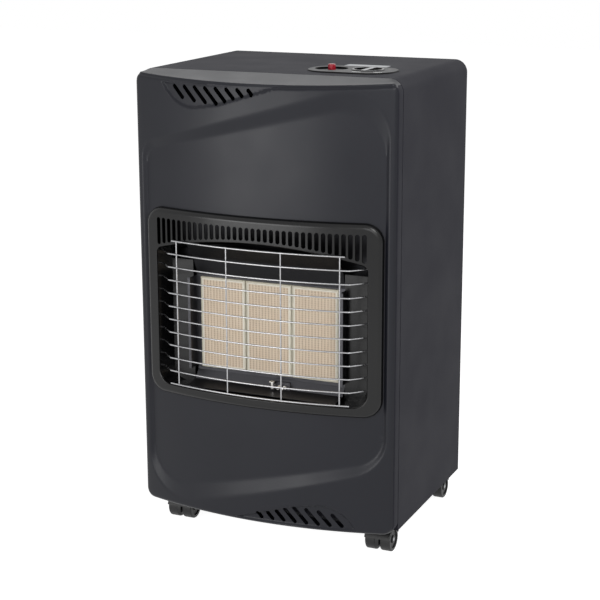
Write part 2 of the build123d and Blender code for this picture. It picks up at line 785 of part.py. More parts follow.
def burner_body():
    """Shallow mixing chamber with a pocket for each plaque."""
    back = seam + burner_depth
    body = along_y(upright_plate(body_width, body_height), seam, back)
    for x in plaque_columns():
        body -= along_y(upright_plate(pocket_width, pocket_height, x), seam - sheet, plaque_back_y)
        window = upright_plate(plaque_width - 2 * plaque_ledge, plaque_height - 2 * plaque_ledge, x)
        body -= along_y(window, seam, plenum_front_y + burner_wall)
    body -= along_y(upright_plate(body_width - 2 * burner_wall, body_height - 2 * burner_wall),
                    plenum_front_y, back - burner_wall)
    body -= rod_z(venturi_radius - venturi_wall, 0, venturi_y, body_foot - burner_wall,
                  body_foot + 2 * burner_wall)
    spread = (body_width - 2 * spacer_inset, body_height - 2 * spacer_inset)
    for spot in GridLocations(*spread, 2, 2):
        x, z = spot.position.X, plaque_centre_height + spot.position.Y
        body += rod_y(spacer_radius, x, z, back, shield_y)
    return body


def venturi_horn(radius, low, high):
    """The venturi's outer or inner shape: a straight tube with a bell at its lower end."""
    bell_radius = radius + venturi_bell - venturi_radius
    middle = body_foot - venturi_length + venturi_bell_length / 2
    tube = rod_z(radius, 0, venturi_y, low, high)
    return tube + Pos(0, venturi_y, middle) * Cone(bell_radius, radius, venturi_bell_length)


def venturi_tube():
    low = body_foot - venturi_length
    bore = venturi_horn(venturi_radius - venturi_wall, low - sheet, body_foot + sheet)
    return venturi_horn(venturi_radius, low, body_foot) - bore


injector_top = body_foot - venturi_length - injector_gap
injector_shoulder = injector_top - injector_nose[1]
injector_foot = injector_shoulder - injector_hexagon


def injector():
    """Brass jet with a hexagon, below the mouth of the venturi."""
    hexagon = Pos(0, venturi_y, injector_foot) * RegularPolygon(injector_across, 6)
    nose = rod_z(injector_nose[0], 0, venturi_y, injector_shoulder, injector_top)
    nose = chamfer(nose.faces().sort_by(Axis.Z)[-1].edges(), injector_chamfer)
    bore = rod_z(injector_bore, 0, venturi_y, injector_foot - sheet, injector_top + sheet)
    return nose + extrude(hexagon, amount=injector_hexagon) - bore


# ---- pilot ---------------------------------------------------------------------------------------
pilot_y = seam - pilot_stand
pilot_back = pilot_y + pilot_tail


def pilot_burner():
    below, above = pilot_head_reach
    front, back, thick = pilot_hood
    body = rod_y(pilot_radius, pilot_x, pilot_height, pilot_y, pilot_back)
    head = rod_z(pilot_head_radius, pilot_x, pilot_y, pilot_height - below, pilot_height + above)
    hood = block((pilot_x - pilot_radius, pilot_x + pilot_radius), (pilot_y - front, pilot_y + back),
                 (pilot_height + above, pilot_height + above + thick))
    return body + head + hood


def spark_electrode():
    """Ceramic sleeve along y."""
    sleeve = rod_y(sleeve_radius, electrode_x, pilot_height, pilot_y - sleeve_reach, pilot_back)
    return chamfer(sleeve.faces().sort_by(Axis.Y)[0].edges(), sleeve_chamfer)


def spark_wire():
    """Wire tip that bends up towards the pilot flame."""
    start = pilot_y - sleeve_reach
    end = start - spark_reach
    side, rise = spark_tip
    route = [(electrode_x, start, pilot_height), (electrode_x, end, pilot_height),
             (electrode_x - side, end, pilot_height + rise)]
    return pipe(route, spark_radius, spark_bend)


def thermocouple():
    radius, front, back = probe_collar
    tip = rod_y(probe_radius, probe_x, pilot_height, pilot_y - probe_reach, pilot_back)
    tip = fillet(tip.faces().sort_by(Axis.Y)[0].edges(), probe_round)
    return tip + rod_y(radius, probe_x, pilot_height, pilot_y + front, pilot_y + back)


def pilot_bracket():
    """Upright plate on the tray that carries the pilot, the spark electrode and the probe."""
    front = pilot_y + bracket_back
    back = front + bracket_thickness
    plate = block((pilot_x - bracket_margin, probe_x + bracket_margin), (front, back),
                  (tray_top(front), pilot_height + bracket_margin))
    for x, radius in ((pilot_x, pilot_radius), (electrode_x, sleeve_radius), (probe_x, probe_radius)):
        plate -= rod_y(radius, x, pilot_height, front - sheet, back + sheet)
    return plate


# ---- reflectors and heat shield ------------------------------------------------------------------
def folded(points, half):
    """A folded strip of thin sheet; the points are distances behind the seam and heights."""
    line = [(seam + y, z) for y, z in points]
    return along_x(bent_sheet(line, thin_sheet), -half, half)


def tray_top(y):
    """Height of the upper side of the tray's floor at y."""
    (front, low), (back, high) = tray_points[:2]
    slope = (high - low) / (back - front)
    return low + slope * (y - seam - front) + thin_sheet * sqrt(1 + slope ** 2)


def reflector_hood():
    return folded(hood_points, reflector_half)


def reflector_tray():
    """Lower reflector with a window that the pilot's pipe and leads pass through."""
    front, back = tray_window
    margin = tray_window_margin
    window = block((pilot_x - margin, probe_x + margin), (seam - front, seam - back),
                   (pilot_height - margin, pilot_height + margin))
    return folded(tray_points, reflector_half) - window


def reflector_side(side):
    inner = reflector_wall_x
    front, back = seam - reflector_wall_front, seam - sheet
    wall = block((inner, inner + thin_sheet), (front, back), reflector_span)
    wall += block((field_width / 2 + sheet, inner + thin_sheet), (back - thin_sheet, back), reflector_span)
    wall += block((inner, inner + reflector_lip), (front, front + thin_sheet), reflector_span)
    return wall if side > 0 else mirror(wall, about=Plane.YZ)


def heat_shield():
    """Sheet between burner and gas bottle, its head leaning forwards between the cabinet's flanges."""
    back = shield_y + thin_sheet - seam
    half = half_width - sheet
    line = ((back, shield_foot), (back, shield_lean_start), (back - shield_lean, shield_head))
    shield = folded(line, half)
    for side in (-1, 1):
        x = sorted((side * (half - front_flange), side * far))
        shield -= block(x, (seam - far, shield_y), (shield_lean_start, far))
    return shield


# ---- controls ------------------------------------------------------------------------------------
bezel_top = cabinet_height + bezel_rise
igniter_floor = bezel_top - igniter_well_depth
knob_floor = bezel_top - knob_well_depth
neck_top = knob_floor - well_wall
control_y = seam + control_back
knob_foot = knob_floor + knob_gap + knob_push
knob_top = bezel_top + knob_proud
spindle_top = knob_top - knob_hollow - knob_roof
button_foot = igniter_floor - button_socket
valve_foot = neck_top - valve_depth
inlet_foot = valve_foot
inlet_y = control_y + inlet_back
igniter_foot = igniter_floor - piezo_length - piezo_terminal[1]


def wells():
    """Middle, floor, bore radius of the igniter's well and of the knob's well."""
    return ((button_x, igniter_floor, piezo_radius + screw_clearance),
            (knob_x, knob_floor, spindle_radius + spindle_bore_margin))


def control_bezel():
    plate = along_z(bezel_outline(), cabinet_height, bezel_top)
    plate = fillet(plate.faces().sort_by(Axis.Z)[-1].edges(), bezel_rise * 0.8)
    for x, floor, bore in wells():
        plate += rod_z(well_radius + well_wall, x, control_y, floor - well_wall, bezel_top - well_wall)
        plate -= rod_z(well_radius, x, control_y, floor, bezel_top + 1)
        plate -= rod_z(bore, x, control_y, floor - 2 * well_wall, floor + 1)
    return plate - bezel_screw()


def bezel_screw():
    x, y = bezel_screw_x, seam + bezel_screw_y
    middle = cabinet_height + bezel_rise / 2
    head = rod_z(bezel_screw_radius, x, y, middle, bezel_top)
    return head + rod_z(bezel_screw_radius / 2, x, y, cabinet_height - bezel_screw_depth, middle)


def bezel_marks():
    return [extrude(Pos(bezel_x + x, seam + y, bezel_top) * SlotOverall(*mark_size), amount=mark_thickness)
            for x, y in mark_places]


def control_knob():
    """Low round knob with two finger hollows beside a straight grip."""
    knob = rod_z(knob_radius, knob_x, control_y, knob_foot, knob_top)
    knob = fillet(knob.faces().sort_by(Axis.Z)[-1].edges(), knob_round)
    hollow = rod_z(knob_radius - knob_rim, knob_x, control_y, knob_top - knob_hollow, knob_top + 1)
    hollow -= block((knob_x - knob_grip_width / 2, knob_x + knob_grip_width / 2),
                    (control_y - knob_radius, control_y + knob_radius), (knob_foot, knob_top + 2))
    knob -= hollow
    knob -= rod_z(spindle_radius + running_clearance, knob_x, control_y, knob_foot - 1, spindle_top)
    return knob - knob_pointer()


def knob_pointer():
    length, width, depth = pointer_size
    outline = Pos(knob_x, control_y, knob_top - depth) * SlotOverall(length, width, 90)
    return extrude(outline, amount=depth)


def gas_valve():
    """Valve block with a neck up to the bezel and an inlet arm to the rear."""
    neck_radius, neck_height = valve_neck
    length, width, corner = valve_block
    block_top = neck_top - neck_height
    arm_z = (valve_foot + block_top) / 2
    outline = Pos(knob_x, control_y) * RectangleRounded(length, width, corner)
    body = along_z(outline, valve_foot, block_top)
    body += rod_z(neck_radius, knob_x, control_y, block_top, neck_top)
    body += rod_y(inlet_arm_radius, knob_x, arm_z, control_y, inlet_y + inlet_arm_radius)
    body += rod_z(inlet_drop_radius, knob_x, inlet_y, inlet_foot, arm_z)
    bore_foot = neck_top - spindle_depth - knob_push - knob_gap
    return body - rod_z(spindle_radius + running_clearance, knob_x, control_y, bore_foot, neck_top + sheet)


def valve_spindle():
    return rod_z(spindle_radius, knob_x, control_y, neck_top - spindle_depth, spindle_top)


def hose_tail():
    """Hexagon nut with a plain hose tail below it."""
    across, height, overlap = hose_nut
    shoulder = inlet_foot - height
    foot = shoulder - hose_tail_length
    nut = extrude(Pos(knob_x, inlet_y, shoulder) * RegularPolygon(across, 6), amount=height)
    tail = rod_z(hose_tail_radius, knob_x, inlet_y, foot, shoulder)
    tail = chamfer(tail.faces().sort_by(Axis.Z)[0].edges(), sheet)
    return nut + tail - rod_z(hose_tail_bore, knob_x, inlet_y, foot - sheet, inlet_foot - overlap)


def piezo_igniter():
    """Push igniter: collar on the well's floor, threaded barrel below, blind bore for the button."""
    collar_radius, collar_height = piezo_collar
    barrel_foot = igniter_floor - piezo_length
    barrel = rod_z(piezo_radius, button_x, control_y, barrel_foot, igniter_floor)
    barrel += rod_z(collar_radius, button_x, control_y, igniter_floor, igniter_floor + collar_height)
    barrel += rod_z(piezo_terminal[0], button_x, control_y, igniter_foot, barrel_foot)
    bore_foot = button_foot - button_push - sheet
    return barrel - rod_z(button_radius + button_clearance, button_x, control_y, bore_foot,
                          igniter_floor + 2 * collar_height)


def igniter_nut():
    top = igniter_floor - well_wall
    across, height = piezo_nut
    nut = extrude(Pos(button_x, control_y, top - height) * RegularPolygon(across, 6), amount=height)
    return nut - rod_z(piezo_radius, button_x, control_y, top - height - sheet, top + sheet)


def igniter_button():
    button = rod_z(button_radius, button_x, control_y, button_foot, cabinet_height + button_top)
    return fillet(button.faces().sort_by(Axis.Z)[-1].edges(), button_round)


def label_plate():
    middle = Pos(plate_x, seam + plate_y, cabinet_height)
    return extrude(middle * RectangleRounded(*plate_size, 2), amount=plate_thickness)


# ---- gas pipes and leads -------------------------------------------------------------------------
column_y = shield_y + pipe_column_back


def column_route(start, rank, end):
    """Points from a start near the burner, along a level under the shield, up a column to the controls.

    The rank counts the lines inwards from the burner's pipe; each has its own levels and column."""
    x, y, z = start
    end_x, end_y, end_z = end
    level = shield_foot - pipe_run_drop + rank * pipe_run_step
    column = pipe_column_x - rank * pipe_spacing
    top = valve_foot - pipe_rise - rank * pipe_spacing
    return [start, (x, y, level), (column, y, level), (column, column_y, level), (column, column_y, top),
            (end_x, column_y, top), (end_x, end_y, top), end]


def burner_pipe():
    end = (knob_x + valve_port_x, control_y - valve_port_y, valve_foot)
    return pipe(column_route((0, venturi_y, injector_foot), 0, end), gas_pipe_radius, pipe_bend)


def pilot_line(x, rank, end, radius):
    """A line that leaves the back of the pilot bracket, drops behind the burner and joins the others."""
    corner = (x, venturi_y, pilot_height)
    return pipe([(x, pilot_back, pilot_height)] + column_route(corner, rank, end), radius, line_bend)


def pilot_pipe():
    end = (knob_x - valve_port_x, control_y - valve_port_y, valve_foot)
    return pilot_line(pilot_x, 1, end, pilot_pipe_radius)


def ignition_lead():
    return pilot_line(electrode_x, 2, (button_x, control_y, igniter_foot), lead_radius)


def thermocouple_lead():
    return pilot_line(probe_x, 3, (knob_x, control_y + valve_port_y, valve_foot), lead_radius)


# ---- castors -------------------------------------------------------------------------------------
socket_foot = skirt_height - socket_flange
hood_top = socket_foot - hood_gap
socket_top = skirt_height + socket_depth
castor_reach = castor_web / 2 + wheel_gap + wheel_width


def castor_socket(x, y):
    socket = rod_z(socket_flange_radius, x, y, socket_foot, skirt_height)
    socket = chamfer(socket.faces().sort_by(Axis.Z)[0].edges(), thin_sheet)
    socket += rod_z(socket_radius, x, y, skirt_height, socket_top)
    return socket - rod_z(stem_radius + running_clearance, x, y, socket_foot - sheet, socket_top + sheet)


def castor_stem(x, y):
    stem = rod_z(stem_radius, x, y, hood_top - stem_grip, socket_top - stem_short)
    return chamfer(stem.faces().sort_by(Axis.Z)[-1].edges(), sheet)


def castor_hood(x, y, way):
    """Central web with a bore for the axle, a cover over the wheels and a boss round the stem."""
    axle_y = y + way * castor_trail
    inner = wheel_radius + hood_clearance
    outer = inner + hood_wall
    body = rod_x(outer, axle_y, wheel_radius, x - castor_reach, x + castor_reach)
    body -= block((x - far, x + far), (axle_y - far, axle_y + far), (-far, wheel_radius + hood_skirt))
    web = rod_x(outer, axle_y, wheel_radius, x - castor_web / 2, x + castor_web / 2)
    body += web - block((x - far, x + far), (axle_y - far, axle_y + far), (-far, wheel_radius - web_skirt))
    body += rod_z(hood_boss_radius, x, y, wheel_radius, hood_top)
    for side in (-1, 1):
        span = sorted((x + side * castor_web / 2, x + side * (castor_reach + sheet)))
        body -= rod_x(inner, axle_y, wheel_radius, *span)
    body -= rod_x(axle_radius + running_clearance, axle_y, wheel_radius, x - castor_web, x + castor_web)
    return body - rod_z(stem_radius, x, y, hood_top - stem_grip, hood_top + sheet)


def castor_wheel(x, y, way, side):
    axle_y = y + way * castor_trail
    rim, depth = wheel_dish
    near = castor_reach - wheel_width

    def span(low, high):
        return sorted((x + side * low, x + side * high))

    wheel = rod_x(wheel_radius, axle_y, wheel_radius, *span(near, castor_reach))
    wheel = fillet(wheel.edges().filter_by(GeomType.CIRCLE), wheel_round)
    dish = span(castor_reach - depth, castor_reach + depth)
    wheel -= rod_x(wheel_radius - rim, axle_y, wheel_radius, *dish)
    wheel += rod_x(wheel_hub_radius, axle_y, wheel_radius, *span(near + depth, castor_reach))
    return wheel - rod_x(axle_radius, axle_y, wheel_radius, *span(near - depth, castor_reach + depth))


def castor_axle(x, y, way):
    axle = rod_x(axle_radius, y + way * castor_trail, wheel_radius, x - castor_reach, x + castor_reach)
    return chamfer(axle.edges().filter_by(GeomType.CIRCLE), axle_chamfer)


# ---- rear cover ----------------------------------------------------------------------------------
cover_low = skirt_height + cover_overlap
cover_high = cabinet_height - rear_flange + cover_overlap
cover_half = half_width - rear_flange + cover_overlap


def cover_slots(face):
    """Two fields of breather slots."""
    slots = []
    for middle in (cover_low + cover_slot_middles[0], cover_high - cover_slot_middles[1]):
        for spot in GridLocations(*cover_slot_pitch, *cover_slot_grid):
            slot = Pos(spot.position.X, middle + spot.position.Y) * SlotOverall(*cover_slot)
            slots.append(along_y(slot, face - 2 * sheet, face + sheet))
    return slots


def rear_cover():
    """Shallow tray with rows of breather slots, a hand hole and two dimples for its screws."""
    face = rear + cover_stand
    outer = rounded(2 * cover_half, cover_low, cover_high, cover_corner)
    inner = rounded(2 * (cover_half - sheet), cover_low + sheet, cover_high - sheet, cover_corner - sheet)
    cover = fillet(along_y(outer, rear, face).faces().sort_by(Axis.Y)[-1].edges(), cover_edge_round)
    cover -= along_y(inner, rear - sheet, face - sheet)
    for slot in cover_slots(face):
        cover -= slot
    grip = Pos(0, cover_high - grip_drop)
    rim = grip * RectangleRounded(grip_size[0] + 2 * sheet, grip_size[1] + 2 * sheet, grip_corner + sheet)
    cover += along_y(rim, rear + sheet, face)
    cover -= along_y(grip * RectangleRounded(*grip_size, grip_corner), rear - sheet, face + sheet)
    for x, z in cover_screw_places():
        floor = rear + cover_dimple_floor
        cover += rod_y(cover_dimple_radius + sheet, x, z, floor - sheet, face)
        cover -= rod_y(cover_dimple_radius, x, z, floor, face + sheet)
        cover -= rod_y(screw_shank_radius + screw_clearance, x, z, rear - sheet, face + sheet)
    width, thick = tab_size
    low = skirt_height + sheet + tab_height
    for side in (-1, 1):
        cover += block((side * tab_x - width / 2, side * tab_x + width / 2),
                       (rear - tab_reach, face - sheet / 2), (low, low + thick))
    return cover


def cover_screws():
    """Two hand screws with scalloped heads."""
    screws = []
    scallops, radius = screw_scallop
    for x, z in cover_screw_places():
        floor = rear + cover_dimple_floor
        head = rod_y(screw_head_radius, x, z, floor, rear + cover_stand - screw_head_back)
        head = fillet(head.faces().sort_by(Axis.Y)[-1].edges(), sheet)
        for spot in PolarLocations(screw_head_radius + screw_scallop_out, scallops):
            head -= rod_y(radius, x + spot.position.X, z + spot.position.Y, floor - sheet, rear + cover_stand)
        screws.append(head + rod_y(screw_shank_radius, x, z, rear - rear_flange + 2 * sheet, floor))
    return screws


# ---- write every piece ---------------------------------------------------------------------------
def write(name, shape):
    if isinstance(shape, list):
        shape = Compound(children=[Solid(piece.solid().wrapped) for piece in shape])
    export_step(shape, f"parts/{name}.step")


def main():
    pieces = {
        "cabinet_wrap": cabinet_wrap(),
        "front_panel": front_panel(),
        "base_pan": base_pan(),
        "rear_cross_rail": rear_cross_rail(),
        "casing_screws": casing_screws(),
        "burner_surround": burner_surround(),
        "wire_guard": wire_guard(),
        "heat_shield": heat_shield(),
        "reflector_hood": reflector_hood(),
        "reflector_tray": reflector_tray(),
        "reflector_left": reflector_side(-1),
        "reflector_right": reflector_side(1),
        "burner_body": burner_body(),
        "plaque_frame": plaque_frame(),
        "plaque_gaskets": plaque_gaskets(),
        "venturi_tube": venturi_tube(),
        "injector": injector(),
        "pilot_burner": pilot_burner(),
        "pilot_bracket": pilot_bracket(),
        "spark_electrode": spark_electrode(),
        "spark_wire": spark_wire(),
        "thermocouple": thermocouple(),
        "burner_pipe": burner_pipe(),
        "pilot_pipe": pilot_pipe(),
        "ignition_lead": ignition_lead(),
        "thermocouple_lead": thermocouple_lead(),
        "gas_valve": gas_valve(),
        "hose_tail": hose_tail(),
        "control_bezel": control_bezel(),
        "label_plate": label_plate(),
        "piezo_igniter": piezo_igniter(),
        "igniter_nut": igniter_nut(),
        "valve_spindle": valve_spindle(),
        "control_knob": control_knob(),
        "knob_pointer": knob_pointer(),
        "bezel_screw": bezel_screw(),
        "bezel_marks": bezel_marks(),
        "igniter_button": igniter_button(),
        "rear_cover": rear_cover(),
        "cover_screws": cover_screws(),
        "castor_sockets": [castor_socket(x, y) for name, x, y, way in stem_places()],
    }
    for place, x in zip(("left", "centre", "right"), plaque_columns()):
        pieces[f"ceramic_plaque_{place}"] = ceramic_plaque(x)
    for name, x, y, way in stem_places():
        pieces[f"castor_{name}_hood"] = castor_hood(x, y, way)
        pieces[f"castor_{name}_stem"] = castor_stem(x, y)
        pieces[f"castor_{name}_axle"] = castor_axle(x, y, way)
        pieces[f"castor_{name}_wheels"] = [castor_wheel(x, y, way, side) for side in (-1, 1)]
    for name, shape in pieces.items():
        write(name, shape)


main()
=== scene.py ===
import json
from math import atan2, cos, degrees, radians, sin, tau

import bpy
import numpy as np
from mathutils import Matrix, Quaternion, Vector
from mathutils.geometry import delaunay_2d_cdt


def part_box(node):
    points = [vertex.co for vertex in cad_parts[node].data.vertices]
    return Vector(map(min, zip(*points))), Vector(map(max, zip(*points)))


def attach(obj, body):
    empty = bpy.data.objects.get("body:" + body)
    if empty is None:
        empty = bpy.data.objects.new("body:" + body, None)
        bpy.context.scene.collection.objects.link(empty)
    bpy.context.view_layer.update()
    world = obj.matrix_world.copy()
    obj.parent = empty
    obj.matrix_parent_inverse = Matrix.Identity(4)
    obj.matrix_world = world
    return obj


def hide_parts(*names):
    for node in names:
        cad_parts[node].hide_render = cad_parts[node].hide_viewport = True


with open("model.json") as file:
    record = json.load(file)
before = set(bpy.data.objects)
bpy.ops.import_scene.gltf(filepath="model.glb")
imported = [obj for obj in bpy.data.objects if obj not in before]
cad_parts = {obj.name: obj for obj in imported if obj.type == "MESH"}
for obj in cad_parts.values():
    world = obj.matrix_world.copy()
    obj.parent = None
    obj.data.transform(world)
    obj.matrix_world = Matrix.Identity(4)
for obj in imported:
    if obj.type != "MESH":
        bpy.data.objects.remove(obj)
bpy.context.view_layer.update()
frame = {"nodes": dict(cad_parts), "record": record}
nodes = frame["nodes"]

MM = 0.001


def corners(node):
    """Lowest and highest corner of a piece in the frame, to a thousandth of a millimetre."""
    return [[round(value, 6) for value in corner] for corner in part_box(node)]


# ---- cabinet: sizes from the frame, and those of its sheet metal that no box gives, in metres ------
(_, SEAM, SKIRT), (HALF, _, TOP) = corners("cabinet_wrap")    # front seam, lower edge, half width, top sheet
CROWN = SEAM - corners("front_panel")[0][1]                   # seam to the crown of the bowed face
BOW = 0.034                     # rise of the bowed face between its side flanges
RADIUS = (HALF ** 2 + BOW ** 2) / (2 * BOW)
CENTRE = SEAM - CROWN + RADIUS  # axis of the bow
SLOPE = 0.19                    # fall of the panel's top flange
CREASE = TOP - SLOPE * CROWN    # lowest height of the crease between that flange and the face
TOP_BEND = 0.020                # bends between the top sheet and the sides
FOOT_CORNER = 0.015             # lower corners of the front panel


def face_y(x):
    """y of the bowed face at x."""
    return CENTRE - np.sqrt(RADIUS ** 2 - x ** 2)


def crease(x):
    """Height of the crease at x; it rises to the sides as the face falls back."""
    return TOP - SLOPE * (SEAM - face_y(x))


# ---- materials -------------------------------------------------------------------------------------
# Grain and relief are in millimetres. Orange peel and rolling marks have about their real size. The
# grain of textured plastic, print, sleeve and felt is a few tenths of a millimetre and too fine to
# show, so it is drawn two to three times as coarse.
COAT_PATCH = 80 * MM            # over such patches a coat is a little uneven
METAL_PATCH = 30 * MM           # and bare metal a little tarnished
COAT_DRIFT, GLOSS_DRIFT, METAL_DRIFT = 0.05, 0.04, 0.1
ROLLED_UPRIGHT = (1, 1, 0.06)   # marks drawn out along z
BRUSHED_ACROSS = (0.06, 1, 1)   # marks drawn out along x


def linear(code, factor=1.0):
    """sRGB hex to linear RGBA, scaled by factor."""
    values = [int(code[i:i + 2], 16) / 255 for i in (0, 2, 4)]
    return [factor * (v / 12.92 if v <= 0.04045 else ((v + 0.055) / 1.055) ** 2.4) for v in values] + [1.0]


def add(tree, kind, sockets=None, **settings):
    """Adds a node with its settings; each socket named in sockets gets a link or a value."""
    node = tree.nodes.new(kind)
    for name, value in settings.items():
        setattr(node, name, value)
    for name, value in (sockets or {}).items():
        socket = node.inputs[name]
        if isinstance(value, bpy.types.NodeSocket):
            tree.links.new(value, socket)
        else:
            socket.default_value = value
    return node


def begin(name, **values):
    """A new material: its tree, its shader with the values set on it, and the object's coordinates."""
    made = bpy.data.materials.new(name)
    made.use_nodes = True
    tree = made.node_tree
    shader = tree.nodes["Principled BSDF"]
    for key, value in values.items():
        shader.inputs[key.replace("_", " ")].default_value = value
    place = add(tree, "ShaderNodeTexCoord").outputs["Object"]
    return made, tree, shader, place


def finish(tree, shader, tone, gloss, marks, relief):
    """Gives the shader its tone, its roughness from the gloss pattern, and its marks as relief."""
    pattern, low, high = gloss
    sheen = add(tree, "ShaderNodeMapRange", {"Value": pattern.outputs["Fac"], "From Min": 0.3,
                                             "From Max": 0.7, "To Min": low, "To Max": high})
    skin = add(tree, "ShaderNodeBump", {"Height": marks.outputs["Fac"], "Distance": relief * MM})
    tree.links.new(tone.outputs[2], shader.inputs["Base Color"])
    tree.links.new(sheen.outputs["Result"], shader.inputs["Roughness"])
    tree.links.new(skin.outputs["Normal"], shader.inputs["Normal"])


def coating(name, code, roughness, grain, relief, specular):
    """A sprayed, stoved, printed or moulded skin; grain is the size of its orange peel or texture."""
    made, tree, shader, place = begin(name, Specular_IOR_Level=specular)
    cloud = add(tree, "ShaderNodeTexNoise", {"Vector": place, "Scale": 1 / COAT_PATCH, "Detail": 4.0})
    tone = add(tree, "ShaderNodeMix", {0: cloud.outputs["Fac"], 6: linear(code, 1 - COAT_DRIFT),
                                       7: linear(code, 1 + COAT_DRIFT)}, data_type="RGBA")
    peel = add(tree, "ShaderNodeTexNoise", {"Vector": place, "Scale": 1 / (grain * MM), "Detail": 2.0})
    finish(tree, shader, tone, (cloud, roughness - GLOSS_DRIFT, roughness + GLOSS_DRIFT), peel, relief)
    return made


def bare_metal(name, code, roughness, grain, relief, stretch=(1, 1, 1)):
    """Plain, plated or drawn metal; its fine marks are drawn out along the axis with the small stretch."""
    made, tree, shader, place = begin(name, Metallic=1.0)
    drawn = add(tree, "ShaderNodeMapping", {"Vector": place, "Scale": stretch})
    marks = add(tree, "ShaderNodeTexNoise", {"Vector": drawn.outputs["Vector"], "Scale": 1 / (grain * MM),
                                             "Detail": 4.0})
    cloud = add(tree, "ShaderNodeTexNoise", {"Vector": place, "Scale": 1 / METAL_PATCH, "Detail": 3.0})
    tone = add(tree, "ShaderNodeMix", {0: cloud.outputs["Fac"], 6: linear(code, 1 - METAL_DRIFT),
                                       7: linear(code)}, data_type="RGBA")
    finish(tree, shader, tone, (marks, roughness * 0.75, roughness * 1.3), marks, relief)
    return made


PLAQUE_LOW, PLAQUE_HIGH = corners("ceramic_plaque_centre")
PLAQUE_PITCH = corners("ceramic_plaque_right")[0][0] - PLAQUE_LOW[0]
PLAQUE_MIDDLE = (PLAQUE_LOW[2] + PLAQUE_HIGH[2]) / 2
PLAIN_EDGE = (0.0027, 0.0023)   # plain border at the sides and at the foot and head of a plaque
PERFORATED = (PLAQUE_HIGH[0] - PLAIN_EDGE[0], PLAQUE_HIGH[2] - PLAQUE_MIDDLE - PLAIN_EDGE[1])   # half sizes
HOLE_PITCH = (0.0052, 0.0034)   # columns and rows; the real holes are about 2 mm apart, too fine to show
ROW_SHARE = 0.45                # the rows show less than the columns
HOLE_DEPTH = 0.0004             # as the eye sees it, not as deep as they are drilled
FIRED_PATCH = 0.020             # the ceramic's tone changes a little over such patches


def perforated_ceramic():
    """Cordierite plaque: pale plain border, and a field of fine holes that reads as beige; the holes' darker
    tone is painted shade, the shade inside them.
    """
    made, tree, shader, place = begin("perforated_cordierite", Roughness=0.9, Specular_IOR_Level=0.2)
    axes = add(tree, "ShaderNodeSeparateXYZ", {"Vector": place})
    across = add(tree, "ShaderNodeMath", {0: axes.outputs["X"], 1: -PLAQUE_PITCH / 2, 2: PLAQUE_PITCH / 2},
                 operation="WRAP")
    upright = add(tree, "ShaderNodeMath", {0: axes.outputs["Z"], 1: PLAQUE_MIDDLE}, operation="SUBTRACT")
    inside, waves = [], []
    for value, half, pitch in zip((across, upright), PERFORATED, HOLE_PITCH):
        size = add(tree, "ShaderNodeMath", {0: value.outputs[0]}, operation="ABSOLUTE")
        inside.append(add(tree, "ShaderNodeMath", {0: size.outputs[0], 1: half}, operation="LESS_THAN"))
        turn = add(tree, "ShaderNodeMath", {0: value.outputs[0], 1: tau / pitch}, operation="MULTIPLY")
        waves.append(add(tree, "ShaderNodeMath", {0: turn.outputs[0]}, operation="COSINE"))
    field = add(tree, "ShaderNodeMath", {0: inside[0].outputs[0], 1: inside[1].outputs[0]},
                operation="MULTIPLY")
    total = add(tree, "ShaderNodeMath", {0: waves[1].outputs[0], 1: ROW_SHARE, 2: waves[0].outputs[0]},
                operation="MULTIPLY_ADD")
    hole = add(tree, "ShaderNodeMapRange", {"Value": total.outputs[0], "From Min": -0.2, "From Max": 1.3})
    holes_and_shade = add(tree, "ShaderNodeMath", {0: hole.outputs["Result"], 1: field.outputs[0]},
                  operation="MULTIPLY")
    cloud = add(tree, "ShaderNodeTexNoise", {"Vector": place, "Scale": 1 / FIRED_PATCH, "Detail": 4.0})
    body = add(tree, "ShaderNodeMix", {0: cloud.outputs["Fac"], 6: linear("eed9c0"), 7: linear("f5e5d0")},
               data_type="RGBA")
    plain = add(tree, "ShaderNodeMix", {0: field.outputs[0], 6: linear("fbf5e6"), 7: body.outputs[2]},
                data_type="RGBA")
    # painted shade: the holes take the darker tone cdb79f for the shade inside them
    shown = add(tree, "ShaderNodeMix", {0: holes_and_shade.outputs[0], 6: plain.outputs[2], 7: linear("cdb79f")},
                data_type="RGBA")
    depth = add(tree, "ShaderNodeBump", {"Height": holes_and_shade.outputs[0], "Distance": HOLE_DEPTH}, invert=True)
    tree.links.new(shown.outputs[2], shader.inputs["Base Color"])
    tree.links.new(depth.outputs["Normal"], shader.inputs["Normal"])
    return made


